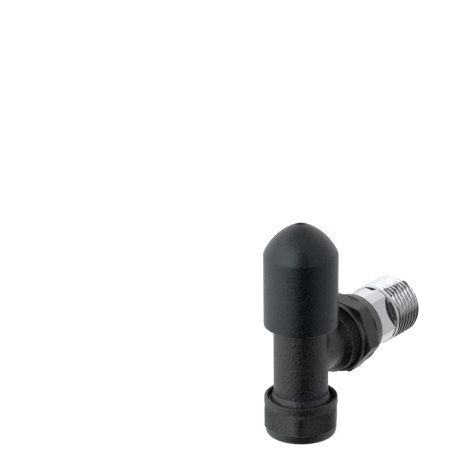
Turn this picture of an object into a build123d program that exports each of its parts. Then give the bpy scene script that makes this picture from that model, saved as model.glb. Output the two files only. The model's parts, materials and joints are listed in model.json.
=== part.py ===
"""Angled lockshield valve for a radiator, in millimetres.

The origin is the mouth of the pipe inlet, at the centre of the compression nut's lower face.
+Z runs up the valve's own axis to the tip of its cap, and +X along the tail to the radiator.

    compression nut, olive  ->  body  ->  bonnet, gland, spindle, plug  ->  cap
                                  |
                                  ->  tail, split ring, union nut
"""

import os
from math import radians, tan

from build123d import *

# ---------------------------------------------------------------- driving dimensions

TAIL_AXIS = 27.5  # height of the tail's axis
PIPE_HOLE_R = 7.6  # slides over a 15 mm tube
PIPE_STOP = 18.5  # how far the tube goes in

HALF_INCH_R, HALF_INCH_PITCH = 20.955 / 2, 1.814  # G1/2
UNION_THREAD_R, UNION_PITCH = 11.0, 1.5  # M22
BONNET_R, BONNET_PITCH = 8.0, 1.0  # M16
DRIVE_R, DRIVE_PITCH = 3.5, 1.5  # left-hand, so that the plug rises as it opens
THREAD_DEPTH = 0.62  # of the pitch
THREAD_PLAY = 0.07  # between the crests of a thread and the bore around it
RUN_PLAY = 0.05  # round a turning spindle
LAY_PLAY = 0.05  # round a piece that only lies in its seat

# both coated nuts fit one spanner
NUT_FLATS = 24.0
NUT_CORNER_R = 2.2  # the corners of the hexagon are rounded
NUT_REACH = NUT_FLATS / 2 + 2.5  # past the corners
NUT_BEVEL = tan(radians(30)) * (NUT_REACH - NUT_FLATS / 2)  # corners turned off at 30 degrees

# compression nut and olive
NUT_TURN = 32.5  # degrees from +X to a corner
NUT_FOOT_TOP, NUT_HEX_TOP, NUT_TOP = 3.2, 11.0, 13.3
NUT_RIM_R, NUT_MOUTH_R, NUT_MOUTH = 11.7, 11.2, 1.6
NUT_FLOOR = 2.0
OLIVE_FOOT, OLIVE_TOP, OLIVE_R = 2.4, 7.6, 8.7

# body
TUBE_R, FLARE_R = 9.175, 10.3
FLARE_TOP, THREAD_TOP, THREAD_FOOT = 14.5, 12.1, 4.6
COLLAR_R, COLLAR_FOOT, BODY_TOP = 10.2, 40.0, 44.6  # a widening hidden inside the cap
SEAT_HOLE_R, SEAT_TOP, SEAT_LIP = 5.2, 21.5, 0.8
CHAMBER_R, PORT_R = 7.4, 6.0
NECK_R, NECK_THREAD, NECK_END = 8.7, 14.4, 25.0

# bonnet and gland
BONNET_FOOT, FLANGE_FOOT, FLANGE_TOP, BONNET_TOP = 37.5, 45.2, 49.2, 57.8
BONNET_FLATS, BONNET_NECK_R = 18.0, 7.6
GUIDE_FLATS, GUIDE_TOP = 11.8, 47.5
STUFFING_R, STUFFING_FOOT = 5.6, 51.6
PACKING_FOOT, PACKING_TOP = 52.2, 55.2
GLAND_FLATS, GLAND_TOP = 14.0, 60.6
GRIP_RING_Z, GRIP_RING_R, GRIP_GROOVE = 53.0, 0.62, 0.65

# spindle
STEM_R, STEM_FOOT, STEM_TOP = 4.0, 34.5, 60.8
SPINDLE_SQUARE, SQUARE_TOP = 5.5, 66.0
THRUST_R, THRUST_FOOT, THRUST_TOP = 5.5, 45.6, 46.9
STEM_RING_R, STEM_RINGS = 0.5, {"spindle_ring_lower": 48.6, "spindle_ring_upper": 50.5}

# plug and its washer
PLUG_R, PLUG_RIM, PLUG_FLANGE_TOP = 7.0, 22.8, 26.5
PLUG_FLATS, PLUG_TOP = 11.6, 40.0
DRIVE_BORE_FOOT = 29.0
WASHER_R, WASHER_FOOT, WASHER_TOP = 6.4, 21.7, 24.2
PLATE_R, PLATE_THICK = 4.3, 0.4
SCREW_R, SCREW_HEAD_R, SCREW_HEAD, SCREW_TOP = 2.0, 3.4, 1.4, 28.0

# cap
CAP_R, CAP_WALL = 12.42, 1.5
CAP_FOOT, CAP_SHOULDER, CAP_APEX = 38.8, 63.9, 74.45
CAP_DOME_R, CAP_TIP_R, CAP_TIP = 19.0, 2.96, 73.6
CAP_DISH_R, CAP_DISH_FOOT = 1.9, 74.1
SLEEVE_R, SLEEVE_WALL, SLEEVE_FOOT = 8.25, 1.2, 50.5
RIB_COUNT, RIB_WIDTH, RIB_FOOT = 6, 1.0, 56.0

# union nut
UNION_TURN = -9.0  # degrees from -Y, towards +Z, to a corner
UNION_BACK, UNION_SKIRT, UNION_HEX, UNION_FRONT = 18.5, 21.8, 28.1, 32.0
UNION_SKIRT_R, UNION_FACE_R = 12.3, 11.2
UNION_HOLE_R, UNION_SHOULDER = 9.3, 28.4

# tail
TAIL_NOSE, TAIL_SHOULDER, TAIL_BODY, TAIL_THREAD, TAIL_END = 19.8, 25.3, 32.2, 43.3, 56.6
TAIL_NOSE_R, TAIL_SPIGOT_R, TAIL_BODY_R = 7.4, 8.9, 10.2
TAIL_FLATS, TAIL_FLATS_END = 17.0, 42.0
TAIL_TURN = 22.8  # degrees from -Y, towards +Z, to the middle of a flat
NOSE_RING_X, NOSE_RING_R, NOSE_GROOVE = 22.4, 0.4, 0.75
SPLIT_RING, SPLIT_RING_END, SPLIT_GROOVE_R, SPLIT_RING_R = 26.4, 28.1, 8.1, 10.1
SPLIT_GAP = 2.2

Z_AXIS = Axis.Z
X_AXIS = Axis((0, 0, TAIL_AXIS), (1, 0, 0))
TAIL_PLANE = Plane(origin=(0, 0, TAIL_AXIS), x_dir=(0, -1, 0), z_dir=(1, 0, 0))

os.makedirs("parts", exist_ok=True)


# ---------------------------------------------------------------- helpers


def keep(piece, name):
    """Label a finished piece and write it to its own file."""
    piece.part.label = name
    export_step(piece.part, f"parts/{name}.step")


def turned(*corners):
    """A solid turned about the valve's axis, from the (radius, height) corners of its half section."""
    with BuildPart() as piece:
        with BuildSketch(Plane.XZ):
            with BuildLine():
                Polyline(*corners, close=True)
            make_face()
        revolve(axis=Z_AXIS)
    return piece.part


def turned_on_tail(*corners):
    """A solid turned about the tail's axis, from the (x, radius) corners of its half section."""
    with BuildPart() as piece:
        with BuildSketch(Plane.XZ):
            with BuildLine():
                Polyline(*[(x, TAIL_AXIS + r) for x, r in corners], close=True)
            make_face()
        revolve(axis=X_AXIS)
    return piece.part


def thread_corners(start, end, crest_r, pitch):
    """Corners of the V between each two crests of a thread, as (along, radius) pairs."""
    land = pitch / 8
    for i in range(int((end - start) / pitch)):
        low = start + i * pitch + land
        high = start + (i + 1) * pitch - land
        middle = (low + high) / 2
        yield (low, crest_r), (middle, crest_r - THREAD_DEPTH * pitch), (high, crest_r), (middle, crest_r + 1)


def thread(start, end, crest_r, pitch):
    """What a thread on the valve's axis leaves out: one V-shaped ring for each turn."""
    rings = thread_corners(start, end, crest_r, pitch)
    return [turned(*[(r, z) for z, r in corners]) for corners in rings]


def thread_on_tail(start, end, crest_r, pitch):
    """What a thread on the tail's axis leaves out."""
    return [turned_on_tail(*corners) for corners in thread_corners(start, end, crest_r, pitch)]


def round_ring(radius, height, section_r):
    """An O-ring about the valve's axis, from the middle of its section."""
    with BuildPart() as piece:
        with BuildSketch(Plane.XZ):
            with Locations((radius, height)):
                Circle(section_r)
        revolve(axis=Z_AXIS)
    return piece


def washer(foot, top, outer_r, hole_r):
    """A flat ring about the valve's axis."""
    with BuildPart() as piece:
        with BuildSketch(Plane.XY.offset(foot)):
            Circle(outer_r)
            Circle(hole_r, mode=Mode.SUBTRACT)
        extrude(amount=top - foot)
    return piece


# ---------------------------------------------------------------- body

OLIVE_CONE_R = OLIVE_R + 0.7
OLIVE_CONE_TOP = THREAD_FOOT + 2 * (OLIVE_CONE_R - PIPE_HOLE_R)
SEAT_FLOOR = SEAT_TOP - SEAT_LIP
BONNET_BORE_R = BONNET_R + LAY_PLAY
BONNET_BORE_FOOT = BONNET_FOOT - 0.5
NOSE_BORE_R = TAIL_NOSE_R + 0.1
NOSE_BORE = TAIL_NOSE - 0.3

upright = turned(
    (0, THREAD_FOOT),
    (HALF_INCH_R - 0.6, THREAD_FOOT),
    (HALF_INCH_R, THREAD_FOOT + 0.6),
    (HALF_INCH_R, THREAD_TOP - 0.4),
    (FLARE_R, THREAD_TOP),
    (TUBE_R, FLARE_TOP),
    (TUBE_R, COLLAR_FOOT),
    (COLLAR_R, COLLAR_FOOT + 1),
    (COLLAR_R, BODY_TOP),
    (0, BODY_TOP),
)
neck = turned_on_tail(
    (0, 0),
    (0, NECK_R),
    (NECK_THREAD - 1.9, NECK_R),
    (NECK_THREAD, UNION_THREAD_R),
    (NECK_END - 0.7, UNION_THREAD_R),
    (NECK_END, UNION_THREAD_R - 0.7),
    (NECK_END, 0),
)
# pipe socket, seat and chamber, from below upwards
waterway = turned(
    (0, THREAD_FOOT),
    (OLIVE_CONE_R, THREAD_FOOT),
    (PIPE_HOLE_R, OLIVE_CONE_TOP),
    (PIPE_HOLE_R, PIPE_STOP),
    (SEAT_HOLE_R, PIPE_STOP),
    (SEAT_HOLE_R, SEAT_TOP),
    (SEAT_HOLE_R + SEAT_LIP, SEAT_TOP),
    (SEAT_HOLE_R + 1.5 * SEAT_LIP, SEAT_FLOOR),
    (CHAMBER_R, SEAT_FLOOR),
    (CHAMBER_R, BONNET_BORE_FOOT),
    (BONNET_BORE_R, BONNET_BORE_FOOT),
    (BONNET_BORE_R, BODY_TOP),
    (0, BODY_TOP),
)
# side port, with a counterbore for the tail's nose
side_port = turned_on_tail(
    (0, 0),
    (0, PORT_R),
    (NOSE_BORE, PORT_R),
    (NOSE_BORE, NOSE_BORE_R),
    (NECK_END, NOSE_BORE_R),
    (NECK_END, 0),
)
inlet_thread = thread(THREAD_FOOT + 1.9, THREAD_TOP - 0.2, HALF_INCH_R, HALF_INCH_PITCH)
neck_thread = thread_on_tail(NECK_THREAD + 0.3, NECK_END - 0.7, UNION_THREAD_R, UNION_PITCH)

with BuildPart() as valve_body:
    add(upright)
    add(neck)
    seams = valve_body.edges().filter_by(GeomType.BSPLINE)
    fillet(seams, radius=0.8)
    add([waterway, side_port], mode=Mode.SUBTRACT)
    add(inlet_thread + neck_thread, mode=Mode.SUBTRACT)
keep(valve_body, "valve_body")

# ---------------------------------------------------------------- compression nut and olive

nut_turning = turned(
    (0, 0),
    (NUT_FLATS / 2 - 0.8, 0),
    (NUT_FLATS / 2, 2.2),
    (NUT_FLATS / 2, NUT_FOOT_TOP),
    (NUT_REACH, NUT_FOOT_TOP + NUT_BEVEL),
    (NUT_REACH, NUT_HEX_TOP - NUT_BEVEL),
    (NUT_FLATS / 2, NUT_HEX_TOP),
    (NUT_RIM_R, NUT_TOP - 0.2),
    (NUT_RIM_R - 0.2, NUT_TOP),
    (0, NUT_TOP),
)
NUT_BORE_R = HALF_INCH_R + THREAD_PLAY
nut_hollow = turned(
    (0, 0),
    (PIPE_HOLE_R, 0),
    (PIPE_HOLE_R, NUT_FLOOR),
    (OLIVE_R + 0.3, NUT_FLOOR + 1.5),
    (NUT_BORE_R, NUT_FLOOR + 1.7),
    (NUT_BORE_R, NUT_TOP - NUT_MOUTH),
    (NUT_MOUTH_R - 0.2, NUT_TOP - NUT_MOUTH + 0.4),
    (NUT_MOUTH_R, NUT_TOP),
    (0, NUT_TOP),
)

with BuildPart() as compression_nut:
    with BuildSketch(Plane.XY.offset(NUT_FOOT_TOP)) as hexagon:
        RegularPolygon(radius=NUT_FLATS / 2, side_count=6, major_radius=False, rotation=NUT_TURN)
        fillet(hexagon.vertices(), radius=NUT_CORNER_R)
    extrude(amount=NUT_HEX_TOP - NUT_FOOT_TOP)
    with BuildSketch():
        Circle(NUT_FLATS / 2)
    extrude(amount=NUT_TOP)
    add(nut_turning, mode=Mode.INTERSECT)
    add(nut_hollow, mode=Mode.SUBTRACT)
keep(compression_nut, "compression_nut")

with BuildPart() as olive:
    add(
        turned(
            (PIPE_HOLE_R, OLIVE_FOOT),
            (PIPE_HOLE_R + 0.25, OLIVE_FOOT),
            (OLIVE_R, OLIVE_FOOT + 1.5),
            (OLIVE_R, OLIVE_FOOT + 2.8),
            (PIPE_HOLE_R + 0.25, OLIVE_TOP),
            (PIPE_HOLE_R, OLIVE_TOP),
        )
    )
keep(olive, "olive")

# ---------------------------------------------------------------- bonnet and gland

bonnet_thread = thread(BONNET_FOOT + 0.5, FLANGE_FOOT - 1, BONNET_R, BONNET_PITCH)

with BuildPart() as bonnet:
    with BuildSketch(Plane.XY.offset(BONNET_FOOT)):
        Circle(BONNET_R)
    extrude(amount=FLANGE_FOOT - BONNET_FOOT)
    with BuildSketch(Plane.XY.offset(FLANGE_FOOT)):
        RegularPolygon(radius=BONNET_FLATS / 2, side_count=6, major_radius=False)
    extrude(amount=FLANGE_TOP - FLANGE_FOOT)
    with BuildSketch(Plane.XY.offset(FLANGE_TOP)):
        Circle(BONNET_NECK_R)
    extrude(amount=BONNET_TOP - FLANGE_TOP)
    add(bonnet_thread, mode=Mode.SUBTRACT)
    # groove for the ring that grips the cap
    with BuildSketch(Plane.XZ):
        with Locations((BONNET_NECK_R, GRIP_RING_Z)):
            Rectangle(2 * GRIP_GROOVE, 2 * GRIP_GROOVE + 0.3)
    revolve(axis=Z_AXIS, mode=Mode.SUBTRACT)
    # six-sided guide for the plug, hole for the spindle and stuffing box
    with BuildSketch(Plane.XY.offset(BONNET_FOOT)):
        RegularPolygon(radius=GUIDE_FLATS / 2, side_count=6, major_radius=False)
    extrude(amount=GUIDE_TOP - BONNET_FOOT, mode=Mode.SUBTRACT)
    with BuildSketch(Plane.XY.offset(GUIDE_TOP)):
        Circle(STEM_R + RUN_PLAY)
    extrude(amount=BONNET_TOP - GUIDE_TOP, mode=Mode.SUBTRACT)
    with BuildSketch(Plane.XY.offset(STUFFING_FOOT)):
        Circle(STUFFING_R)
    extrude(amount=BONNET_TOP - STUFFING_FOOT, mode=Mode.SUBTRACT)
keep(bonnet, "bonnet")

with BuildPart() as gland_nut:
    with BuildSketch(Plane.XY.offset(PACKING_TOP)):
        Circle(STUFFING_R - LAY_PLAY)
    extrude(amount=BONNET_TOP - PACKING_TOP)
    with BuildSketch(Plane.XY.offset(BONNET_TOP)):
        RegularPolygon(radius=GLAND_FLATS / 2, side_count=6, major_radius=False)
    extrude(amount=GLAND_TOP - BONNET_TOP)
    chamfer(gland_nut.faces().sort_by(Axis.Z)[-1].edges(), length=0.4)
    with BuildSketch(Plane.XY.offset(PACKING_TOP)):
        Circle(STEM_R + 2 * RUN_PLAY)
    extrude(amount=GLAND_TOP - PACKING_TOP, mode=Mode.SUBTRACT)
keep(gland_nut, "gland_nut")

SEAL_R = STUFFING_R - LAY_PLAY
keep(washer(BODY_TOP, FLANGE_FOOT, COLLAR_R - 0.2, BONNET_BORE_R), "bonnet_gasket")
keep(washer(STUFFING_FOOT, PACKING_FOOT, SEAL_R, STEM_R + 2 * RUN_PLAY), "gland_washer")
keep(washer(PACKING_FOOT, PACKING_TOP, SEAL_R, STEM_R + RUN_PLAY), "gland_packing")
keep(round_ring(BONNET_NECK_R, GRIP_RING_Z, GRIP_RING_R), "cap_grip_ring")

# ---------------------------------------------------------------- spindle

stem = turned(
    (0, STEM_FOOT),
    (DRIVE_R - 0.6, STEM_FOOT),
    (DRIVE_R, STEM_FOOT + 0.6),
    (DRIVE_R, THRUST_FOOT),
    (THRUST_R, THRUST_FOOT),
    (THRUST_R, THRUST_TOP),
    (STEM_R, THRUST_TOP),
    (STEM_R, STEM_TOP),
    (0, STEM_TOP),
)
drive_thread = thread(STEM_FOOT + 1, THRUST_FOOT, DRIVE_R, DRIVE_PITCH)

with BuildPart() as spindle:
    add(stem)
    add(drive_thread, mode=Mode.SUBTRACT)
    with BuildSketch(Plane.XZ):
        with Locations(*[(STEM_R, height) for height in STEM_RINGS.values()]):
            Rectangle(4 * STEM_RING_R, 2 * STEM_RING_R + 0.2)
    revolve(axis=Z_AXIS, mode=Mode.SUBTRACT)
    with BuildSketch(Plane.XY.offset(STEM_TOP)):
        Rectangle(SPINDLE_SQUARE, SPINDLE_SQUARE)
    extrude(amount=SQUARE_TOP - STEM_TOP)
    chamfer(spindle.faces().sort_by(Axis.Z)[-1].edges(), length=0.5)
keep(spindle, "spindle")

for name, height in STEM_RINGS.items():
    keep(round_ring(STEM_R - STEM_RING_R + 0.02, height, STEM_RING_R), name)
keep(washer(THRUST_TOP, GUIDE_TOP - LAY_PLAY, THRUST_R, STEM_R), "thrust_washer")

# ---------------------------------------------------------------- plug and its washer

with BuildPart() as valve_plug:
    with BuildSketch(Plane.XY.offset(PLUG_RIM)):
        Circle(PLUG_R)
    extrude(amount=PLUG_FLANGE_TOP - PLUG_RIM)
    with BuildSketch(Plane.XY.offset(PLUG_FLANGE_TOP)):
        RegularPolygon(radius=PLUG_FLATS / 2, side_count=6, major_radius=False)
    extrude(amount=PLUG_TOP - PLUG_FLANGE_TOP)
    chamfer(valve_plug.faces().sort_by(Axis.Z)[-1].edges(), length=0.3)
    # cup for the washer, screw hole and threaded bore
    for foot, top, hole_r in (
        (PLUG_RIM, WASHER_TOP, WASHER_R + LAY_PLAY),
        (WASHER_TOP, SCREW_TOP + 0.3, SCREW_R),
        (DRIVE_BORE_FOOT, PLUG_TOP, DRIVE_R + RUN_PLAY),
    ):
        with BuildSketch(Plane.XY.offset(foot)):
            Circle(hole_r)
        extrude(amount=top - foot, mode=Mode.SUBTRACT)
keep(valve_plug, "valve_plug")

keep(washer(WASHER_FOOT, WASHER_TOP, WASHER_R, SCREW_R), "seat_washer")
keep(washer(WASHER_FOOT - PLATE_THICK, WASHER_FOOT, PLATE_R, SCREW_R), "washer_plate")

HEAD_TOP = WASHER_FOOT - PLATE_THICK
HEAD_FOOT = HEAD_TOP - SCREW_HEAD
screw_turning = turned(
    (0, HEAD_FOOT),
    (SCREW_HEAD_R - 0.4, HEAD_FOOT),
    (SCREW_HEAD_R, HEAD_FOOT + 0.4),
    (SCREW_HEAD_R, HEAD_TOP),
    (SCREW_R - LAY_PLAY, HEAD_TOP),
    (SCREW_R - LAY_PLAY, SCREW_TOP - 0.4),
    (0, SCREW_TOP),
)

with BuildPart() as washer_screw:
    add(screw_turning)
    with BuildSketch(Plane.XY.offset(HEAD_FOOT)):
        Rectangle(2 * SCREW_HEAD_R + 1, 0.8)
    extrude(amount=SCREW_HEAD / 2, mode=Mode.SUBTRACT)
keep(washer_screw, "washer_screw")

# ---------------------------------------------------------------- cap

HOLLOW_R = CAP_R - CAP_WALL
SLEEVE_OUTER_R = SLEEVE_R + SLEEVE_WALL

with BuildPart() as lockshield_cap:
    with BuildSketch(Plane.XZ):
        with BuildLine():
            Line((0, CAP_FOOT), (CAP_R, CAP_FOOT))
            Line((CAP_R, CAP_FOOT), (CAP_R, CAP_SHOULDER))
            dome = RadiusArc((CAP_R, CAP_SHOULDER), (CAP_TIP_R, CAP_TIP), -CAP_DOME_R)
            TangentArc(dome @ 1, (0, CAP_APEX), tangent=dome % 1)
            Line((0, CAP_APEX), (0, CAP_FOOT))
        make_face()
    revolve(axis=Z_AXIS)
    circles = lockshield_cap.edges().filter_by(GeomType.CIRCLE).group_by(Axis.Z)
    fillet(circles[1], radius=2.4)
    rim = lockshield_cap.edges().filter_by(GeomType.CIRCLE).group_by(Axis.Z)[0]
    fillet(rim, radius=0.5)
    # the hollow follows the outside, one wall thickness in
    with BuildSketch(Plane.XZ):
        with BuildLine():
            Line((0, CAP_FOOT), (HOLLOW_R, CAP_FOOT))
            Line((HOLLOW_R, CAP_FOOT), (HOLLOW_R, CAP_SHOULDER - 1))
            ceiling = RadiusArc(
                (HOLLOW_R, CAP_SHOULDER - 1),
                (CAP_TIP_R, CAP_TIP - CAP_WALL),
                CAP_WALL - CAP_DOME_R,
            )
            Line(ceiling @ 1, (0, CAP_TIP - CAP_WALL))
            Line((0, CAP_TIP - CAP_WALL), (0, CAP_FOOT))
        make_face()
    revolve(axis=Z_AXIS, mode=Mode.SUBTRACT)
    # gripping sleeve, held off the wall by ribs, both grown up into the dome
    with BuildSketch(Plane.XY.offset(SLEEVE_FOOT)):
        Circle(SLEEVE_OUTER_R)
        Circle(SLEEVE_R, mode=Mode.SUBTRACT)
    extrude(until=Until.NEXT)
    with BuildSketch(Plane.XY.offset(RIB_FOOT)):
        with PolarLocations((SLEEVE_OUTER_R + HOLLOW_R) / 2, RIB_COUNT):
            Rectangle(HOLLOW_R - SLEEVE_OUTER_R + 0.6, RIB_WIDTH)
    extrude(until=Until.NEXT)
    # shallow dish at the very top
    with BuildSketch(Plane.XY.offset(CAP_DISH_FOOT)):
        Circle(CAP_DISH_R)
    extrude(amount=1, mode=Mode.SUBTRACT)
keep(lockshield_cap, "lockshield_cap")

# ---------------------------------------------------------------- tail and its rings

tail_turning = turned_on_tail(
    (TAIL_NOSE, PORT_R),
    (TAIL_NOSE, TAIL_NOSE_R - 0.5),
    (TAIL_NOSE + 0.5, TAIL_NOSE_R),
    (TAIL_SHOULDER, TAIL_NOSE_R),
    (TAIL_SHOULDER, TAIL_SPIGOT_R),
    (TAIL_BODY, TAIL_SPIGOT_R),
    (TAIL_BODY, TAIL_BODY_R),
    (TAIL_FLATS_END, TAIL_BODY_R),
    (TAIL_FLATS_END, HALF_INCH_R),
    (TAIL_END - 1.1, HALF_INCH_R),
    (TAIL_END, HALF_INCH_R - 1.1),
    (TAIL_END, PORT_R + 0.6),
    (TAIL_END - 0.6, PORT_R),
)
nose_groove = turned_on_tail(
    (NOSE_RING_X - NOSE_RING_R - 0.15, TAIL_NOSE_R - NOSE_GROOVE),
    (NOSE_RING_X + NOSE_RING_R + 0.15, TAIL_NOSE_R - NOSE_GROOVE),
    (NOSE_RING_X + NOSE_RING_R + 0.15, TAIL_NOSE_R + 1),
    (NOSE_RING_X - NOSE_RING_R - 0.15, TAIL_NOSE_R + 1),
)
split_groove = turned_on_tail(
    (SPLIT_RING, SPLIT_GROOVE_R),
    (SPLIT_RING_END, SPLIT_GROOVE_R),
    (SPLIT_RING_END, TAIL_SPIGOT_R + 1),
    (SPLIT_RING, TAIL_SPIGOT_R + 1),
)
tail_thread = thread_on_tail(TAIL_THREAD, TAIL_END - 0.3, HALF_INCH_R, HALF_INCH_PITCH)

with BuildPart() as tail_piece:
    add(tail_turning)
    add([nose_groove, split_groove], mode=Mode.SUBTRACT)
    add(tail_thread, mode=Mode.SUBTRACT)
    # spanner flats: what lies outside a square is milled away
    with BuildSketch(TAIL_PLANE.offset(TAIL_BODY)):
        Circle(HALF_INCH_R + 1)
        Rectangle(TAIL_FLATS, TAIL_FLATS, rotation=TAIL_TURN, mode=Mode.SUBTRACT)
    extrude(amount=TAIL_FLATS_END - TAIL_BODY, mode=Mode.SUBTRACT)
keep(tail_piece, "tail_piece")

with BuildPart() as tail_ring:
    with BuildSketch(Plane.XZ):
        with Locations((NOSE_RING_X, TAIL_AXIS + TAIL_NOSE_R - NOSE_GROOVE + NOSE_RING_R + 0.01)):
            Circle(NOSE_RING_R)
    revolve(axis=X_AXIS)
keep(tail_ring, "tail_ring")

with BuildPart() as union_split_ring:
    with BuildSketch(TAIL_PLANE.offset(SPLIT_RING + LAY_PLAY)):
        Circle(SPLIT_RING_R)
        Circle(SPLIT_GROOVE_R + LAY_PLAY, mode=Mode.SUBTRACT)
        with Locations((0, 1 - SPLIT_RING_R)):
            Rectangle(SPLIT_GAP, 5, mode=Mode.SUBTRACT)
    extrude(amount=SPLIT_RING_END - SPLIT_RING - 2 * LAY_PLAY)
keep(union_split_ring, "union_split_ring")

# ---------------------------------------------------------------- union nut

union_turning = turned_on_tail(
    (UNION_BACK, 0),
    (UNION_BACK, UNION_SKIRT_R - 0.3),
    (UNION_BACK + 0.3, UNION_SKIRT_R),
    (UNION_SKIRT, UNION_SKIRT_R),
    (UNION_SKIRT + 0.5, NUT_REACH),
    (UNION_HEX - NUT_BEVEL, NUT_REACH),
    (UNION_HEX, NUT_FLATS / 2),
    (UNION_FRONT - 0.3, UNION_FACE_R),
    (UNION_FRONT, UNION_FACE_R - 0.3),
    (UNION_FRONT, 0),
)
UNION_BORE_R = UNION_THREAD_R + THREAD_PLAY
union_hollow = turned_on_tail(
    (UNION_BACK, 0),
    (UNION_BACK, UNION_BORE_R + 0.4),
    (UNION_BACK + 0.4, UNION_BORE_R),
    (UNION_SHOULDER - 0.8, UNION_BORE_R),
    (UNION_SHOULDER, UNION_BORE_R - 0.8),
    (UNION_SHOULDER, UNION_HOLE_R),
    (UNION_FRONT - 0.3, UNION_HOLE_R),
    (UNION_FRONT, UNION_HOLE_R + 0.3),
    (UNION_FRONT, 0),
)

with BuildPart() as union_nut:
    with BuildSketch(TAIL_PLANE.offset(UNION_SKIRT)) as union_hexagon:
        RegularPolygon(radius=NUT_FLATS / 2, side_count=6, major_radius=False, rotation=UNION_TURN)
        fillet(union_hexagon.vertices(), radius=NUT_CORNER_R)
    extrude(amount=UNION_HEX - UNION_SKIRT)
    with BuildSketch(TAIL_PLANE.offset(UNION_BACK)):
        Circle(UNION_SKIRT_R)
    extrude(amount=UNION_SKIRT - UNION_BACK)
    with BuildSketch(TAIL_PLANE.offset(UNION_BACK)):
        Circle(NUT_FLATS / 2)
    extrude(amount=UNION_FRONT - UNION_BACK)
    add(union_turning, mode=Mode.INTERSECT)
    add(union_hollow, mode=Mode.SUBTRACT)
keep(union_nut, "union_nut")
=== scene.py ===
# %% [markdown]
# # A lockshield valve for a radiator
#
# The object is a small brass valve with an anthracite coat. A domed cap hides the spindle,
# an upright body takes the water pipe through a compression nut below, and a chrome tail
# goes to the radiator at the side, pulled tight by a coated union nut.
#
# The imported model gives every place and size. This file gives each visible piece its
# finished surface and its finish, one cell at a time.

import json
from math import cos, pi, radians, sin, sqrt, tan

import bmesh
import bpy
import numpy as np
from mathutils import Euler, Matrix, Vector

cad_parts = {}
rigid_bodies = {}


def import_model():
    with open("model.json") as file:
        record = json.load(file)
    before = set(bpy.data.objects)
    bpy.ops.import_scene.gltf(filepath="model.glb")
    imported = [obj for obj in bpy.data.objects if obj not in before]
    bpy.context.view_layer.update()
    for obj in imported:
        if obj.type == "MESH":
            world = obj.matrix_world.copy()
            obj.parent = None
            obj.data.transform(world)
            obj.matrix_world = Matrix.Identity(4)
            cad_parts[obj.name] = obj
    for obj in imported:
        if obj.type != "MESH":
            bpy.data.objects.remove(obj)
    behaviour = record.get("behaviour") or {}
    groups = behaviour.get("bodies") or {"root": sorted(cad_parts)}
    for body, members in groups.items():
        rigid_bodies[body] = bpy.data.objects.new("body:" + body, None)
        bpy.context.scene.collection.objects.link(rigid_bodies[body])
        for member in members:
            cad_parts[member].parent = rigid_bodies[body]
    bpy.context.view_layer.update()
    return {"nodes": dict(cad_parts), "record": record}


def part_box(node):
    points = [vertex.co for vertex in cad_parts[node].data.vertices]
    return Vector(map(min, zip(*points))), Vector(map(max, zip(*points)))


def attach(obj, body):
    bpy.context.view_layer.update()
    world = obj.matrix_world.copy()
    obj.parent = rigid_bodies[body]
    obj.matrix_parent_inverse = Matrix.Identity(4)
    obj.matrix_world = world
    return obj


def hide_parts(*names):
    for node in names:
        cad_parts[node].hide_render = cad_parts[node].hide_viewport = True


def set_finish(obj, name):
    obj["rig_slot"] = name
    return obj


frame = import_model()
nodes = frame["nodes"]


# %% Places measured on the frame
def span(node, axis):
    """Lowest and highest coordinate of a CAD node along x, y or z, in millimetres."""
    low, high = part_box(node)
    k = "xyz".index(axis)
    return 1000 * low[k], 1000 * high[k]


TAIL_AXIS = sum(span("tail_piece", "z")) / 2  # height of the tail's axis
CAP_FOOT, CAP_TOP = span("lockshield_cap", "z")
INSIDE = 0.001  # mm, keeps the cap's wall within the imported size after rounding
CAP_R = span("lockshield_cap", "y")[1] - INSIDE
NUT_FOOT, NUT_TOP = span("compression_nut", "z")
UNION_BACK, UNION_FRONT = span("union_nut", "x")
TAIL_NOSE, TAIL_END = span("tail_piece", "x")
BODY_FOOT, BODY_TOP = span("valve_body", "z")
NECK_END = span("valve_body", "x")[1]
print("cap radius", round(CAP_R, 3), "tail axis", round(TAIL_AXIS, 3))

# %% [markdown]
# ## A surface from an outline
#
# Nearly every piece here is turned, threaded or has a hexagon on it. Each could be a
# cylinder with booleans, but booleans leave ragged edges that catch the light badly.
# Instead a piece is one grid: an outline of (along, radius) points for each angle round
# the axis. A hexagon is then only a radius that changes with the angle, and a thread one
# that changes with both.


# %% Round the corners of outlines
def soften(outline, radius, steps=4, closed=True):
    """Round the corners of outlines (..., corners, 2), all at once.

    A corner P gives way to the curve (1-t)^2 A + 2t(1-t) P + t^2 B. A and B lie on its two
    sides, radius / tan(half the angle between them) away, or 0.45 of the side if that is less.
    """
    outline = np.asarray(outline, float)
    sides = [np.roll(outline, shift, axis=-2) - outline for shift in (1, -1)]
    lengths = [np.linalg.norm(side, axis=-1, keepdims=True) for side in sides]
    ways = [side / np.maximum(length, 1e-9) for side, length in zip(sides, lengths)]
    cosine = np.clip((ways[0] * ways[1]).sum(-1, keepdims=True), -1, 0.999)
    radius = np.broadcast_to(np.asarray(radius, float), outline.shape[-2:-1])[..., None]
    reach = radius * np.sqrt((1 + cosine) / (1 - cosine))
    reach = np.minimum(reach, 0.45 * np.minimum(*lengths))
    if not closed:
        reach[..., [0, -1], :] = 0
    t = np.linspace(0, 1, steps + 1)[:, None]
    start, end = (outline + way * reach for way in ways)
    curve = (1 - t) ** 2 * start[..., None, :] + t**2 * end[..., None, :]
    curve = curve + 2 * t * (1 - t) * outline[..., None, :]
    return curve.reshape(*outline.shape[:-2], -1, 2)


def arc(centre, radius, first, last, count):
    """Points centre + radius (cos a, sin a), with a from first to last in degrees, as (x, y)."""
    a = np.radians(np.linspace(first, last, count))
    return np.stack([centre[0] + radius * np.cos(a), centre[1] + radius * np.sin(a)], -1)


# %% Carry outlines round an axis
def upright(along, radius, angle):
    """A point at that height, radius and angle about the valve's own axis."""
    return np.stack([radius * np.cos(angle), radius * np.sin(angle), along + 0 * angle], -1)


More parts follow.
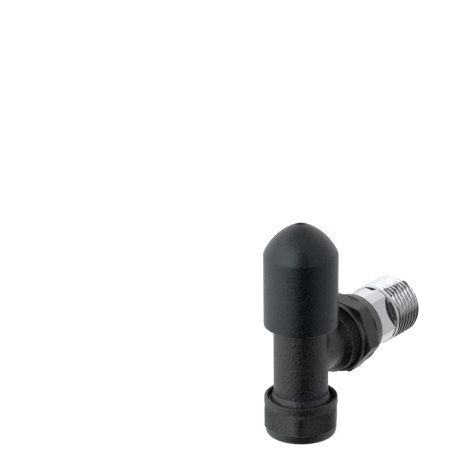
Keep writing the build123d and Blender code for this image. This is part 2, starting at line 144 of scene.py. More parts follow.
def sideways(along, radius, angle):
    """The same about the tail's axis, with angles counted from -Y towards +Z."""
    across, up = -radius * np.cos(angle), TAIL_AXIS + radius * np.sin(angle)
    return np.stack([along + 0 * angle, across, up], -1)


def turned(outline, angles, place, closed=True):
    """(points, quads) of the outline carried round an axis.

    The outline is (points, 2), or (angles, points, 2) where it changes with the angle.
    An open outline starts and ends on the axis, and a closed one is a ring.
    """
    outline = np.broadcast_to(outline, (len(angles), *np.shape(outline)[-2:]))
    points = place(outline[..., 0], outline[..., 1], np.asarray(angles)[:, None])
    rows, columns = points.shape[:2]
    index = np.arange(rows * columns).reshape(rows, columns)
    index = np.concatenate([index, index[:1]])
    if closed:
        index = np.concatenate([index, index[:, :1]], axis=1)
    quads = [index[:-1, :-1], index[1:, :-1], index[1:, 1:], index[:-1, 1:]]
    return points.reshape(-1, 3), np.stack(quads, -1).reshape(-1, 4)


# %% Make a mesh of such surfaces
MERGE = 2e-6  # metres; closes poles and rounded-off sides of no length
CREASE = radians(38)


def outward(points, quads):
    """The quads turned so that the volume they enclose, a sum of v0 . (v1 x v2), is positive."""
    a, b, c, d = (points[quads[:, k]] for k in range(4))
    volume = (a * np.cross(b, c)).sum() + (a * np.cross(c, d)).sum()
    return quads if volume > 0 else quads[:, ::-1]


def make_piece(name, body, slot, replaced, *surfaces):
    """One object from (points, quads) surfaces in millimetres, riding on a body of the frame."""
    count, all_points, all_quads = 0, [], []
    for points, quads in surfaces:
        all_quads.append(outward(points, quads) + count)
        all_points.append(points)
        count += len(points)
    mesh = bpy.data.meshes.new(name)
    quads = np.concatenate(all_quads)
    mesh.vertices.add(count)
    mesh.vertices.foreach_set("co", np.concatenate(all_points).ravel() * 0.001)
    mesh.loops.add(quads.size)
    mesh.loops.foreach_set("vertex_index", quads.ravel())
    mesh.polygons.add(len(quads))
    mesh.polygons.foreach_set("loop_start", np.arange(0, quads.size, 4))
    mesh.update(calc_edges=True)
    soft = bmesh.new()
    soft.from_mesh(mesh)
    bmesh.ops.remove_doubles(soft, verts=soft.verts, dist=MERGE)
    soft.to_mesh(mesh)
    soft.free()
    mesh.validate()
    mesh.shade_smooth()
    mesh.set_sharp_from_angle(angle=CREASE)
    piece = bpy.data.objects.new(name, mesh)
    bpy.context.scene.collection.objects.link(piece)
    weigh = piece.modifiers.new("even shading", "WEIGHTED_NORMAL")
    weigh.keep_sharp = True
    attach(piece, body)
    if replaced:
        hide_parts(*replaced)
    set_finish(piece, slot)
    print(name, len(mesh.polygons), "faces")
    return piece


# %% [markdown]
# ## Hexagons and threads
#
# The coated nuts have a hexagon 24 mm across its flats, with rounded corners. A thread is a
# ridge that climbs one pitch each turn. Both could be cut with boolean tools. As a formula
# they are exact: the grid's columns meet the hexagon's corners, and its rows are close
# enough together to show a true helix.

# %% The hexagon as a radius that changes with the angle
FLATS = 24.0
CORNER_R = 2.2


def polygon_angles(sides, half_flat, arc_half, turn, flat_steps, arc_steps):
    """Angles all round: flats from -half_flat to half_flat, then corners, in radians."""
    flat = np.linspace(-half_flat, half_flat, flat_steps + 1)[:-1]
    corner = pi / sides + np.linspace(-arc_half, arc_half, arc_steps + 1)[:-1]
    one = np.concatenate([flat, corner])
    return (one + 2 * pi / sides * np.arange(sides)[:, None] + turn).ravel()


def hexagon(turn, flats=FLATS, corner_r=CORNER_R):
    """(angles, radius at each) of a hexagon with round corners, one corner at turn + 30 degrees.

    On a flat the radius is a / cos(angle from its middle). On a corner, whose circle of
    radius c is centred d from the axis, it is d cos p + sqrt(c^2 - d^2 sin^2 p).
    """
    a = flats / 2
    d = (a - corner_r) / cos(pi / 6)
    corner_half = np.arctan2(corner_r / 2, d + corner_r * cos(pi / 6))
    half = pi / 6 - corner_half
    angles = polygon_angles(6, half, corner_half, turn, 12, 8)
    off = (angles - turn + pi / 6) % (pi / 3) - pi / 6
    p = pi / 6 - np.abs(off)
    inside = np.maximum(corner_r**2 - (d * np.sin(p)) ** 2, 0)
    round_r = d * np.cos(p) + np.sqrt(inside)
    return angles, np.where(np.abs(off) <= half + 1e-9, a / np.cos(off), round_r)


# %% A thread as a radius that changes with both
def ridge(along, angle, pitch, hand=1):
    """Height of a rounded thread, 0 in its root and 1 on its crest.

    Along the axis it is a triangle wave whose tops and roots are cut off and a little rounded,
    and the wave moves one pitch for each turn of the angle. Straight flanks mirror one
    direction each, which draws the crisp dark bars of a plated thread.
    """
    phase = along / pitch - hand * angle / (2 * pi)
    wave = 1 - 2 * np.abs(phase - np.floor(phase) - 0.5)
    cut = np.clip(1.35 * wave - 0.15, 0, 1)
    return 0.85 * cut + 0.15 * cut * cut * (3 - 2 * cut)


THREAD_DEPTH = 0.62  # of the pitch


def thread_radius(along, angle, first, last, crest, pitch):
    """The crest radius less the depth between ridges, with a run-out at each end."""
    run_in = np.clip((along - first) / (0.6 * pitch), 0, 1)
    run_out = np.clip((last - along) / (0.6 * pitch), 0, 1)
    depth = THREAD_DEPTH * pitch
    cut = depth * np.minimum(run_in, run_out) * (1 - ridge(along, angle, pitch))
    return crest - cut


def with_thread(before, first, last, after, crest, pitch, angles, per_pitch=14):
    """Outlines for each angle: the points before, the thread's rows, and the points after."""
    rows = np.linspace(first, last, int((last - first) / pitch * per_pitch))
    along, angle = np.meshgrid(rows, angles)
    radius = thread_radius(along, angle, first, last, crest, pitch)
    middle = np.stack([along, radius], -1)
    ends = [np.broadcast_to(part, (len(angles), *np.shape(part)[-2:])) for part in (before, after)]
    return np.concatenate([ends[0], middle, ends[1]], axis=1)


ROUND = np.linspace(0, 2 * pi, 160, endpoint=False)

# %% [markdown]
# ## The cap
#
# A one-piece moulded cap, pushed over the bonnet: a straight wall, a soft shoulder, a dome
# of 19 mm radius and a small dish at the tip. Inside are a sleeve that grips a ring on the
# bonnet and six ribs. It could be a sphere joined to a cylinder, but the real dome meets the
# wall at an angle through a small fillet, so its outline is drawn as true arcs.

# %% The cap's outline
DOME_R, SHOULDER_R, TIP_R = 19.0, 2.4, 10.05
TIP_TURN, LIP_TURN = 65.2, 71.6  # degrees up each arc: where the tip starts, and the dish's lip
DOME_AT = (-5.02, 56.36)  # the middle of the dome's arc, as (radius, height)
WALL = 1.5
SLEEVE_R, SLEEVE_FOOT, RIB_FOOT = (8.25, 9.45), 50.5, 56.0
DISH_DEPTH = 0.75

shoulder_x = CAP_R - SHOULDER_R
shoulder_rise = sqrt((DOME_R - SHOULDER_R) ** 2 - (shoulder_x - DOME_AT[0]) ** 2)
shoulder_turn = np.degrees(np.arctan2(shoulder_rise, shoulder_x - DOME_AT[0]))
shoulder = arc((shoulder_x, DOME_AT[1] + shoulder_rise), SHOULDER_R, 0, shoulder_turn, 7)
dome = arc(DOME_AT, DOME_R, shoulder_turn, TIP_TURN, 26)[1:]
tip_way = radians(TIP_TURN)
tip_at = dome[-1] - TIP_R * np.array([cos(tip_way), sin(tip_way)])
tip = arc(tip_at, TIP_R, TIP_TURN, LIP_TURN, 6)[1:]
dish_lip = tip[-1]
dish_t = np.linspace(0.94, 0, 12)[:, None]  # share of the lip's radius; a cup falls as its cube
dish = dish_t * [dish_lip[0], 0] + [0, dish_lip[1] - DISH_DEPTH] + dish_t**3 * [0, DISH_DEPTH]
outer = np.concatenate([[[CAP_R - WALL, CAP_FOOT], [CAP_R, CAP_FOOT]], shoulder, dome, tip, dish])
print("dish lip at radius", round(dish_lip[0], 2), "height", round(dish_lip[1], 2))

# %% The cap's hollow, sleeve and ribs
CEILING_R = DOME_R - WALL
hollow_r = CAP_R - WALL


def ceiling(radius):
    """Height of the hollow's ceiling: the dome's own circle, one wall thickness in."""
    rise = DOME_AT[1] + np.sqrt(CEILING_R**2 - (np.asarray(radius) - DOME_AT[0]) ** 2)
    return np.minimum(rise, CAP_TOP - WALL - 0.5)


def ceiling_run(first, last, count):
    """Points along the ceiling from one radius to another."""
    radius = np.linspace(first, last, count)
    return np.stack([radius, ceiling(radius)], -1)


inside = np.concatenate(
    [
        ceiling_run(0, SLEEVE_R[0], 10),
        [[SLEEVE_R[0], SLEEVE_FOOT], [SLEEVE_R[1], SLEEVE_FOOT]],
        ceiling_run(SLEEVE_R[1], hollow_r, 5),
    ]
)
outline = np.concatenate([inside, outer])[:, ::-1]  # to (along, radius)
SOFT_RIM = 0.5
corner_r = np.full(len(outline), 0.08)
corner_r[len(inside) : len(inside) + 2] = SOFT_RIM
corner_r[len(inside) + 2 : -len(dish)] = 0
shell = turned(soften(outline, corner_r, 3, closed=False), ROUND, upright, closed=False)


def rib(turn, width=1.0, overlap=0.3, rows=12):
    """A flat bar from the sleeve to the wall, its top following the ceiling."""
    radius = np.linspace(SLEEVE_R[1] - overlap, hollow_r + overlap, rows)
    top = ceiling(np.minimum(radius, hollow_r - 0.3)) + 0.4
    corners = [(-width / 2, 0), (width / 2, 0), (width / 2, 1), (-width / 2, 1)]
    across = np.array([c[0] for c in corners])[None, :]
    share = np.array([c[1] for c in corners])[None, :]
    height = RIB_FOOT + share * (top - RIB_FOOT)[:, None]
    x, y = np.broadcast_arrays(radius[:, None], across)
    points = np.stack([x * cos(turn) - y * sin(turn), x * sin(turn) + y * cos(turn), height], -1)
    index = np.arange(rows * 4).reshape(rows, 4)
    index = np.concatenate([index, index[:, :1]], axis=1)
    sides = np.stack([index[:-1, :-1], index[1:, :-1], index[1:, 1:], index[:-1, 1:]], -1)
    ends = [index[0, :4][::-1], index[-1, :4]]
    return points.reshape(-1, 3), np.concatenate([sides.reshape(-1, 4), ends])


ribs = [rib(k * pi / 3) for k in range(6)]
make_piece("domed_cap", "cap", "cap_shell", ["lockshield_cap"], shell, *ribs)

# %% [markdown]
# ## The compression nut
#
# A coated hexagon nut that squeezes a brass ring onto the water pipe. Its corners are turned
# off at 30 degrees, which leaves the curved edges that every real nut has, a round foot
# below and a thin round rim above. For each angle the hexagon's edge starts as far up the
# bevel as that radius reaches, so the curved edges come out exact.

# %% Nut outlines
HEX_FOOT, HEX_TOP = 3.0, 10.6
BEVEL = tan(pi / 6)
COLLAR = 12.35  # radius of the turned collars, a little more than half the flats
nut_angles, nut_r = hexagon(radians(2.5), corner_r=4.2)
zero = 0 * nut_r
hex_half = FLATS / 2 + zero


def corners_of(*points):
    """Outlines for every angle, from (along, radius) corners that may change with it."""
    spread = [[np.broadcast_to(value, zero.shape) for value in point] for point in points]
    return np.moveaxis(np.array(spread), 2, 0)


PIPE_R, INLET_R, INLET_PITCH = 7.6, 10.4775, 1.814
nut_thread_rows = np.linspace(NUT_TOP - 2.4, 4.6, 54)
nut_outside = corners_of(
    (NUT_FOOT, PIPE_R),
    (NUT_FOOT, FLATS / 2 - 0.3),
    (2.2, hex_half),
    (HEX_FOOT, hex_half),
    (HEX_FOOT + BEVEL * (nut_r - hex_half), nut_r),
    (HEX_TOP - 0.15 - BEVEL * np.maximum(nut_r - COLLAR, 0), nut_r),
    (HEX_TOP, COLLAR),
    (NUT_TOP - 0.3, COLLAR - 0.05),
    (NUT_TOP, COLLAR - 0.4),
    (NUT_TOP, 11.25),
    (NUT_TOP - 1.2, 11.0),
    (NUT_TOP - 1.8, 10.95),
)
along, angle = np.meshgrid(nut_thread_rows, nut_angles)
inner_thread = 10.56 + 0.45 * (1 - ridge(along, angle, INLET_PITCH))
nut_inside = np.stack([along, inner_thread], -1)
nut_floor = corners_of((3.7, 10.55), (3.5, 9.0), (2.0, PIPE_R))
nut_edges = np.array([0.5, 0.9, 0.6, 0.3, 0.6, 0.4, 0.25, 0.3, 0.3, 0.15, 0.3, 0])
outside = soften(nut_outside, nut_edges, 4, closed=False)
nut_section = np.concatenate([outside, nut_inside, nut_floor], axis=1)
nut = turned(nut_section, nut_angles, upright)
make_piece("coated_inlet_nut", "compression_nut", "nut_coat", ["compression_nut"], nut)

# %% [markdown]
# ## The union nut
#
# The same hexagon turned on its side, with a round skirt behind and a cone in front. It
# turns freely on the tail and pulls it against the body.

# %% Union nut outlines
SKIRT_END, HEX_END, SKIRT_R, FACE_R = 21.3, 27.5, 12.3, 11.2
GROOVE_R = 11.75  # behind the hexagon, between its rear face and the bead of the skirt
UNION_BORE, UNION_SHOULDER, UNION_HOLE = 11.07, 28.4, 9.3
union_angles, union_r = hexagon(radians(-9.0 - 30))
union_outline = corners_of(
    (UNION_BACK, UNION_BORE + 0.4),
    (UNION_BACK, SKIRT_R),
    (UNION_BACK + 0.8, SKIRT_R),
    (UNION_BACK + 1.1, GROOVE_R),
    (SKIRT_END, GROOVE_R),
    (SKIRT_END + 0.1, union_r),
    (HEX_END - 0.15 - BEVEL * np.maximum(union_r - COLLAR, 0), union_r),
    (HEX_END, COLLAR),
    (UNION_FRONT, FACE_R),
    (UNION_FRONT, UNION_HOLE),
    (UNION_SHOULDER, UNION_HOLE),
    (UNION_SHOULDER, UNION_BORE - 0.8),
    (UNION_SHOULDER - 0.8, UNION_BORE),
    (UNION_BACK + 0.4, UNION_BORE),
)
union_edges = np.array([0.1, 0.35, 0.3, 0.2, 0.2, 0.3, 0.35, 0.25, 0.3, 0.25, 0.1, 0.1, 0.1, 0.1])
union = turned(soften(union_outline, union_edges), union_angles, sideways)
make_piece("coated_union_nut", "union_nut", "nut_coat", ["union_nut"], union)

# %% [markdown]
# ## The tail
#
# Bright chrome on brass. It carries four milled flats for a spanner and a half-inch pipe
# thread, whose rounded ridges climb 1.814 mm each turn. A milled flat is a radius of
# h / cos(angle from its middle), wherever that is less than the round.

# %% Tail outlines
TAIL_R, TAIL_PITCH, PORT_R = 10.4775, 1.814, 6.0
FLAT_HALF, FLATS_FOOT, FLATS_TOP = 8.5, 32.2, 42.0
THREAD_FOOT = 43.1
TAIL_BODY_R = 10.2  # of the round between the flats
flat_reach = np.arccos(FLAT_HALF / TAIL_BODY_R)
tail_angles = polygon_angles(4, flat_reach, pi / 4 - flat_reach, radians(22.8), 28, 16)
off = (tail_angles - radians(22.8) + pi / 4) % (pi / 2) - pi / 4
flat_r = np.minimum(FLAT_HALF / np.cos(off), TAIL_BODY_R)
zero = 0 * flat_r


def groove(middle, half_width, floor_r, top_r):
    """Corners of a square groove across the outline."""
    first, last = middle - half_width, middle + half_width
    return [(first, top_r), (first, floor_r), (last, floor_r), (last, top_r)]


tail_front = corners_of(
    (TAIL_NOSE, PORT_R),
    (TAIL_NOSE, 6.9),
    (TAIL_NOSE + 0.5, 7.4),
    *groove(22.4, 0.55, 6.65, 7.4),
    (25.3, 7.4),
    (25.3, 8.9),
    *groove(27.25, 0.85, 8.1, 8.9),
    (FLATS_FOOT, 8.9),
    (FLATS_FOOT, flat_r),
    (FLATS_TOP, flat_r),
    (FLATS_TOP, TAIL_R),
    (THREAD_FOOT, TAIL_R),
)
front_edges = np.full(tail_front.shape[1], 0.12)
front_edges[-4:-1] = 0.35, 0.06, 0.2
front_rows = soften(tail_front, front_edges, 3, closed=False)
CHAMFER = 1.1
tail_back = corners_of((TAIL_END, PORT_R + 0.6), (TAIL_END - 0.6, PORT_R))
tail_section = with_thread(
    front_rows,
    THREAD_FOOT + 0.02,
    TAIL_END,
    tail_back,
    TAIL_R,
    TAIL_PITCH,
    tail_angles,
    per_pitch=18,
)
cone = TAIL_R - CHAMFER + (TAIL_END - tail_section[..., 0])
tail_section[..., 1] = np.minimum(tail_section[..., 1], cone)
tail = turned(tail_section, tail_angles, sideways)
make_piece("chromed_tail", "tail", "chrome_plate", ["tail_piece"], tail)

# %% [markdown]
# ## The body
#
# One coated forging: an upright tube with a flared foot, and a side neck with a male thread.
# Where the two tubes meet there is a small fillet. The outside is the place where a smooth
# union of two distances is zero: the distance to the tube and the distance to the neck,
# blended where they are nearly equal. Each grid point slides out along its own ray until
# it gets there, which halving the interval finds for the whole grid at once.

# %% The body's outside
TUBE_R, FLARE_R, FLARE_TOP, INLET_TOP = 9.175, 10.3, 14.5, 12.1
COLLAR_R, COLLAR_FOOT = 10.2, 40.0
NECK_R, NECK_CUT = 8.7, 12.6
BLEND = 0.8  # width of the small fillet between tube and neck


def tube_radius(height):
    """Radius of the upright tube: inlet, flare, tube and the collar inside the cap."""
    heights = [0, INLET_TOP, INLET_TOP + 0.01, FLARE_TOP, COLLAR_FOOT, COLLAR_FOOT + 1, 99]
    radii = [INLET_R, INLET_R, FLARE_R, TUBE_R, TUBE_R, COLLAR_R, COLLAR_R]
    return np.interp(height, heights, radii)


def outside_radius(height, angle):
    """How far out the body's surface lies at that height and angle, by halving the interval."""
    low, high = 0 * angle + 5.0, NECK_CUT / np.maximum(np.cos(angle), 0.3)
    high = np.where(np.cos(angle) > 0.3, high, 14.0)
    for _ in range(32):
        radius = (low + high) / 2
        to_tube = radius - tube_radius(height)
        to_neck = np.hypot(radius * np.sin(angle), height - TAIL_AXIS) - NECK_R
        to_neck = np.where(np.cos(angle) > 0, to_neck, 9.0)
        near = np.maximum(BLEND - np.abs(to_tube - to_neck), 0) / BLEND
        distance = np.minimum(to_tube, to_neck) - near**2 * BLEND / 4
        low, high = np.where(distance < 0, radius, low), np.where(distance < 0, high, radius)
    return (low + high) / 2


near_neck = np.linspace(-56, 56, 150)
away = np.linspace(56, 304, 92)[1:-1]
body_angles = np.radians(np.concatenate([near_neck, away]))
swing = np.radians(np.linspace(-90, 90, 75))
neck_rows = TAIL_AXIS + NECK_R * np.sin(swing)
low_rows = np.linspace(FLARE_TOP + 0.4, neck_rows[0], 22)[:-1]
high_rows = np.linspace(neck_rows[-1], COLLAR_FOOT - 0.3, 22)[1:]
flare_rows = np.linspace(INLET_TOP + 0.02, FLARE_TOP + 0.3, 10)
body_rows = np.concatenate(
    [flare_rows, low_rows, neck_rows, high_rows, [COLLAR_FOOT, COLLAR_FOOT + 1, BODY_TOP]]
)
along, angle = np.meshgrid(body_rows, body_angles)
body_outer = np.stack([along, outside_radius(along, angle)], -1)

# %% The body's inlet thread and bores
CHAMBER_R, BONNET_BORE, SEAT_R, SEAT_TOP, SOCKET_END = 7.4, 8.05, 5.2, 21.5, 18.5
inlet = with_thread(
    [[BODY_FOOT, 9.4], [BODY_FOOT, INLET_R - 0.6], [BODY_FOOT + 0.6, INLET_R]],
    BODY_FOOT + 0.7,
    INLET_TOP,
    np.zeros((0, 2)),
    INLET_R,
    INLET_PITCH,
    body_angles,
)
bores = np.array(
    [
        [BODY_TOP, BONNET_BORE],
        [37.0, BONNET_BORE],
        [37.0, CHAMBER_R],
        [20.7, CHAMBER_R],
        [20.7, SEAT_R + 1.2],
        [SEAT_TOP, SEAT_R + 0.8],
        [SEAT_TOP, SEAT_R],
        [SOCKET_END, SEAT_R],
        [SOCKET_END, PIPE_R],
        [BODY_FOOT + 3.6, PIPE_R],
    ]
)
bores = np.broadcast_to(bores, (len(body_angles), *bores.shape))
body_section = np.concatenate([inlet, body_outer, bores], axis=1)
upright_part = turned(body_section, body_angles, upright)

# %% The neck and its thread
NECK_THREAD_R, NECK_PITCH, NECK_THREAD = 11.0, 1.5, 14.4
neck_front = soften(
    [
        [NECK_CUT - 0.6, PORT_R],
        [NECK_CUT - 0.6, NECK_R],
        [NECK_THREAD - 1.9, NECK_R],
        [NECK_THREAD, NECK_THREAD_R],
        [NECK_THREAD + 0.2, NECK_THREAD_R],
    ],
    [0, 0, 0.6, 0.2, 0],
    closed=False,
)
neck_back = [
    [NECK_END, 10.2],
    [NECK_END, 7.5],
    [19.5, 7.5],
    [19.5, PORT_R],
]
neck_section = with_thread(
    neck_front,
    NECK_THREAD + 0.3,
    NECK_END - 0.3,
    neck_back,
    NECK_THREAD_R,
    NECK_PITCH,
    ROUND,
    per_pitch=16,
)
neck_cone = NECK_THREAD_R + 0.55 * (NECK_END - 0.9 - neck_section[..., 0])
neck_section[..., 1] = np.minimum(neck_section[..., 1], np.maximum(neck_cone, 9.9))
neck = turned(neck_section, ROUND, sideways)
make_piece("coated_body", "root", "body_coat", ["valve_body"], upright_part, neck)

# %% [markdown]
# ## Writing materials as sums
#
# Each finish is a small sum of patterns: a base colour, a little drift in it, a grain that
# moves the gloss and the surface. Linking nodes by hand hides that sum, so a small class
# lets a socket be added and multiplied like a number.


# %% A socket that can be added and multiplied
class Signal:
    """One output socket. Each sign between it and a number or another adds a Math node."""

    def __init__(self, finish, socket):
        self.finish, self.socket = finish, socket

    def sum(self, operation, *values):
        return self.finish.node("ShaderNodeMath", {"operation": operation}, dict(enumerate(values)))

    def __add__(self, other):
        return self.sum("ADD", self, other)

    def __mul__(self, other):
        return self.sum("MULTIPLY", self, other)

    def __sub__(self, other):
        return self.sum("SUBTRACT", self, other)

    def __rsub__(self, other):
        return self.sum("SUBTRACT", other, self)

    __radd__, __rmul__ = __add__, __mul__


class Finish:
    """A node tree that is written as expressions."""

    def __init__(self, tree):
        self.tree = tree

    def node(self, kind, settings=None, inputs=None, output=0):
        """Adds a node: its settings first, then the values or links of its sockets."""
        made = self.tree.nodes.new(kind)
        for key, value in (settings or {}).items():
            if key == "stops":
                ramp = made.color_ramp.elements
                while len(ramp) < len(value):
                    ramp.new(1.0)
                for element, (position, colour) in zip(ramp, value):
                    element.position, element.color = position, colour
            else:
                setattr(made, key, value)
        for key, value in (inputs or {}).items():
            if isinstance(value, Signal):
                self.tree.links.new(value.socket, made.inputs[key])
            else:
                made.inputs[key].default_value = value
        return Signal(self, made.outputs[output]) if made.outputs else None

    def mix(self, factor, first, second):
        """A colour from first to second as the factor goes from 0 to 1."""
        return self.node(
            "ShaderNodeMix",
            {"data_type": "RGBA"},
            {0: factor, 6: first, 7: second},
            output=2,
        )

    def noise(self, at, scale, detail=3.0, rough=0.5):
        """A cloudy pattern from 0 to 1."""
        inputs = {"Vector": at, "Scale": scale, "Detail": detail, "Roughness": rough}
        return self.node("ShaderNodeTexNoise", {}, inputs)

    def place(self):
        """Where a point is on its piece, in metres."""
        return self.node("ShaderNodeTexCoord", output="Object")


def finish_of(name, build, **fixed):
    """A material. fixed are values that hold all over it; build gives the sockets that vary."""
    material = bpy.data.materials.new(name)
    material.use_nodes = True
    shader = material.node_tree.nodes["Principled BSDF"]
    for key, value in fixed.items():
        shader.inputs[key.replace("_", " ")].default_value = value
    finish = Finish(material.node_tree)
    for key, signal in build(finish).items():
        material.node_tree.links.new(signal.socket, shader.inputs[key])
    print("finish", name, len(material.node_tree.nodes), "nodes")
    return material


def bump(finish, height, distance):
    """Surface relief of that many metres where the height is 1."""
    return finish.node("ShaderNodeBump", {}, {"Height": height, "Distance": distance})


# %% [markdown]
# ## Coats
#
# The body and nuts wear an anthracite powder coat: baked powder with a very fine orange peel
# that spreads highlights softly. The cap is moulded and a shade bluer and finer. A glossy
# black with a wide highlight would look like enamel, so the gloss is broken by the grain.


# %% Powder coat
def powder_coat(base, grain_scale, grain_depth, gloss):
    """Pale specks in a dark coat, their grain as relief, and a slower orange peel under it."""

    def build(finish):
        at = finish.place()
        grain = finish.noise(at, grain_scale, 2.0, 0.6)
        peel = finish.noise(at, 900.0, 1.0)
        drift = finish.noise(at, 120.0, 3.0)
        light = [2.9 * value for value in base] + [1.0]
        dark = [0.1 * value for value in base] + [1.0]
        speckle = grain * 0.8 + drift * 0.2
        shade = finish.node("ShaderNodeMapRange", {}, {0: speckle, 1: 0.40, 2: 0.62})
        relief = grain + peel * 0.3
        return {
            "Base Color": finish.mix(shade, dark, light),
            "Roughness": gloss + (grain - 0.5) * 0.10 + (drift - 0.5) * 0.05,
            "Normal": bump(finish, relief, grain_depth),
        }

    return build


body_coat = finish_of(
    "body_powder_coat",
    powder_coat((0.0085, 0.0092, 0.0096), 1350.0, 0.00020, 0.29),
    Specular_IOR_Level=0.82,
    Specular_Tint=(0.90, 0.96, 1.0, 1.0),
)
nut_coat = finish_of(
    "nut_powder_coat",
    powder_coat((0.0110, 0.0128, 0.0120), 1450.0, 0.00014, 0.34),
    Specular_IOR_Level=0.8,
    Specular_Tint=(0.95, 1.0, 0.97, 1.0),
)
cap_coat = finish_of(
    "cap_satin",
    powder_coat((0.0048, 0.0066, 0.0084), 1800.0, 0.000075, 0.28),
    Specular_IOR_Level=0.88,
    Specular_Tint=(0.80, 0.92, 1.0, 1.0),
)


# %% Chrome
def chrome(finish):
    """Bright plate with a faint haze and hairline polishing marks."""
    at = finish.place()
    haze = finish.noise(at, 260.0, 3.0)
    hair = finish.noise(at, 2600.0, 4.0, 0.7)
    return {
        "Roughness": 0.02 + haze * 0.02 + hair * 0.01,
        "Normal": bump(finish, hair, 0.0000001),
        "Base Color": finish.mix(haze, (0.72, 0.73, 0.75, 1.0), (0.78, 0.79, 0.81, 1.0)),
    }


chrome_plate = finish_of("chrome_plate", chrome, Metallic=1.0)


# %% Brass, steel, rubber and seals
def turned_metal(low, high, gloss, mark_depth):
    """Metal with fine rings left by the lathe and a little tarnish."""

    def build(finish):
        at = finish.place()
        squeezed = finish.node(
            "ShaderNodeMapping", {}, {"Vector": at, "Scale": (120.0, 120.0, 9000.0)}
        )
        rings = finish.noise(squeezed, 1.0, 3.0)
        tarnish = finish.noise(at, 220.0, 4.0)
        return {
            "Base Color": finish.mix(tarnish, (*low, 1.0), (*high, 1.0)),
            "Roughness": gloss + tarnish * 0.12 + rings * 0.06,
            "Normal": bump(finish, rings, mark_depth),
        }

    return build


def moulded(low, high, gloss, grain_depth):
    """A moulded or pressed seal: cloudy colour and a dull fine grain."""

    def build(finish):
        at = finish.place()
        cloud = finish.noise(at, 500.0, 4.0, 0.6)
        grain = finish.noise(at, 4200.0, 2.0)
        return {
            "Base Color": finish.mix(cloud, (*low, 1.0), (*high, 1.0)),
            "Roughness": gloss + (grain - 0.5) * 0.15,
            "Normal": bump(finish, grain, grain_depth),
        }

    return build


brass = finish_of(
    "turned_brass", turned_metal((0.58, 0.38, 0.14), (0.80, 0.58, 0.27), 0.17, 4e-6), Metallic=1.0
)
spring = finish_of(
    "spring_steel", turned_metal((0.36, 0.36, 0.37), (0.55, 0.56, 0.57), 0.22, 2e-6), Metallic=1.0
)
rubber = finish_of("black_rubber", moulded((0.012,) * 3, (0.03,) * 3, 0.5, 5e-6))
fibre = finish_of("red_fibre", moulded((0.28, 0.05, 0.03), (0.42, 0.10, 0.06), 0.7, 9e-6))
ptfe = finish_of("white_ptfe", moulded((0.72, 0.72, 0.69), (0.85, 0.85, 0.83), 0.42, 2e-6))

# %% Dress every piece
SLOT_FINISH = {
    "body_coat": body_coat,
    "nut_coat": nut_coat,
    "cap_shell": cap_coat,
    "chrome_plate": chrome_plate,
    "brass": brass,
    "fibre": fibre,
    "ptfe": ptfe,
    "rubber": rubber,
    "spring_steel": spring,
}
slot_of = {part["node"]: part["material_slot"] for part in frame["record"]["subparts"]}
for name, node in nodes.items():
    node.data.materials.clear()
    node.data.materials.append(SLOT_FINISH[slot_of[name]])
for piece in bpy.data.objects:
    if "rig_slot" in piece:
        piece.data.materials.clear()
        piece.data.materials.append(SLOT_FINISH[piece["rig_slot"]])
print(len(nodes), "nodes dressed")

# %% [markdown]
# ## The studio
#
# The valve stands on a white floor in a light tent. The tent is bright on the left and
# behind, softer on the right, and open in front where the camera looks in, which draws the
# dark stripe down the cap. The world is that tent: a ramp round the horizon for what is
# below it and another for what is above, with the table's white at the bottom.

# %% Camera
AIM = Vector((-1.727, 29.922, 67.723)) * 0.001
FROM = Vector((-593.184, -427.882, 351.613)) * 0.001
ROLL = radians(-0.7)
camera = bpy.data.objects.new("camera", bpy.data.cameras.new("camera"))
camera.data.lens, camera.data.sensor_width = 192.0, 36.0
camera.data.clip_start, camera.data.clip_end = 0.01, 20.0
camera.location = FROM
camera.rotation_mode = "QUATERNION"
look = (AIM - FROM).to_track_quat("-Z", "Y")
camera.rotation_quaternion = look @ Euler((0, 0, ROLL)).to_quaternion()
bpy.context.scene.collection.objects.link(camera)
bpy.context.scene.camera = camera
bpy.context.scene.view_settings.view_transform = "Standard"
print("camera", round((AIM - FROM).length, 3), "m away")

# %% The tent
toward = Vector((FROM.x, FROM.y, 0)).normalized()
right = Vector((-toward.y, toward.x, 0))
world = bpy.data.worlds.new("tent")
bpy.context.scene.world = world
world.use_nodes = True
world.node_tree.nodes.clear()
tent = Finish(world.node_tree)
way = tent.node("ShaderNodeTexCoord", output="Generated")


def along_axis(axis):
    """How far the direction points along an axis, from -1 to 1."""
    inputs = {0: way, 1: tuple(axis)}
    return tent.node("ShaderNodeVectorMath", {"operation": "DOT_PRODUCT"}, inputs, "Value")


across, ahead, up = along_axis(right), along_axis(toward), along_axis((0, 0, 1))
bearing = across.sum("ARCTAN2", across, ahead) * (0.5 / pi) + 0.5


def horizon(*stops):
    """Brightness by bearing in degrees, 0 towards the camera and positive to its right."""
    shades = [((turn + 180) / 360, (level, level, level, 1.0)) for turn, level in stops]
    return tent.node("ShaderNodeValToRGB", {"stops": shades}, {"Fac": bearing}, "Color")


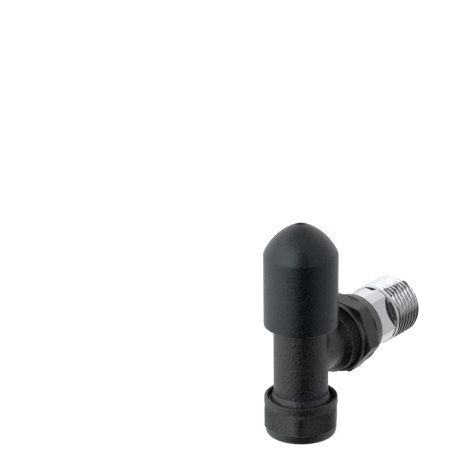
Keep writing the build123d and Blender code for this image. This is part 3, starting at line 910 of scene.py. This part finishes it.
below = horizon(
    (-180, 0.70), (-136, 0.75), (-100, 0.93), (-75, 0.85), (-54, 0.70), (-34, 0.48), (-15, 0.15),
    (-5, 0.02), (28, 0.0), (40, 0.10), (50, 0.19), (71, 0.29), (96, 0.39), (129, 0.55), (180, 0.70),
)
above = horizon(
    (-180, 0.95), (-100, 1.10), (-60, 1.45), (-37, 1.45), (-20, 1.10), (-8, 0.35), (2, 0.06),
    (12, 0.02), (26, 0.20), (40, 0.36), (75, 0.42), (100, 0.55), (129, 0.80), (180, 0.95),
)


def step(low, high, start=0.0, end=1.0):
    """A smooth step in the direction's height, from start at low to end at high."""
    values = {0: up, 1: low, 2: high, 3: start, 4: end}
    return tent.node("ShaderNodeMapRange", {"interpolation_type": "SMOOTHSTEP"}, values)


# the white table fills the lowest directions except in front, and the tent dims overhead
lowest = horizon(
    (-180, 0.95), (-100, 0.95), (-60, 0.5), (-20, 0.03), (45, 0.03), (100, 0.8), (180, 0.95)
)
table = tent.mix(step(-0.66, -0.48), lowest, below)
glow = tent.mix(step(-0.36, -0.02), table, above)
glow = tent.mix(step(0.72, 0.97), glow, (0.45, 0.45, 0.45, 1.0))
seen = tent.node("ShaderNodeLightPath", output="Is Camera Ray")
shown = tent.mix(seen, glow, (1.0, 1.0, 1.0, 1.0))
shade = tent.node("ShaderNodeBackground", {}, {"Color": shown, "Strength": 1.0})
tent.node("ShaderNodeOutputWorld", {}, {"Surface": shade})

# %% The floor
floor_mesh = bpy.data.meshes.new("floor")
REACH = 3.0
corners = [(-REACH, -REACH, 0), (REACH, -REACH, 0), (REACH, REACH, 0), (-REACH, REACH, 0)]
floor_mesh.from_pydata(corners, [], [(0, 1, 2, 3)])
floor = bpy.data.objects.new("floor", floor_mesh)
bpy.context.scene.collection.objects.link(floor)
floor.visible_glossy = floor.visible_diffuse = floor.visible_shadow = False
white = bpy.data.materials.new("white_floor")
white.use_nodes = True
paint = white.node_tree.nodes["Principled BSDF"]
for key, value in {
    "Base Color": (0.8, 0.8, 0.8, 1.0),
    "Roughness": 0.9,
    "Emission Color": (1.0, 1.0, 1.0, 1.0),
    "Emission Strength": 0.78,
}.items():
    paint.inputs[key].default_value = value
floor_mesh.materials.append(white)
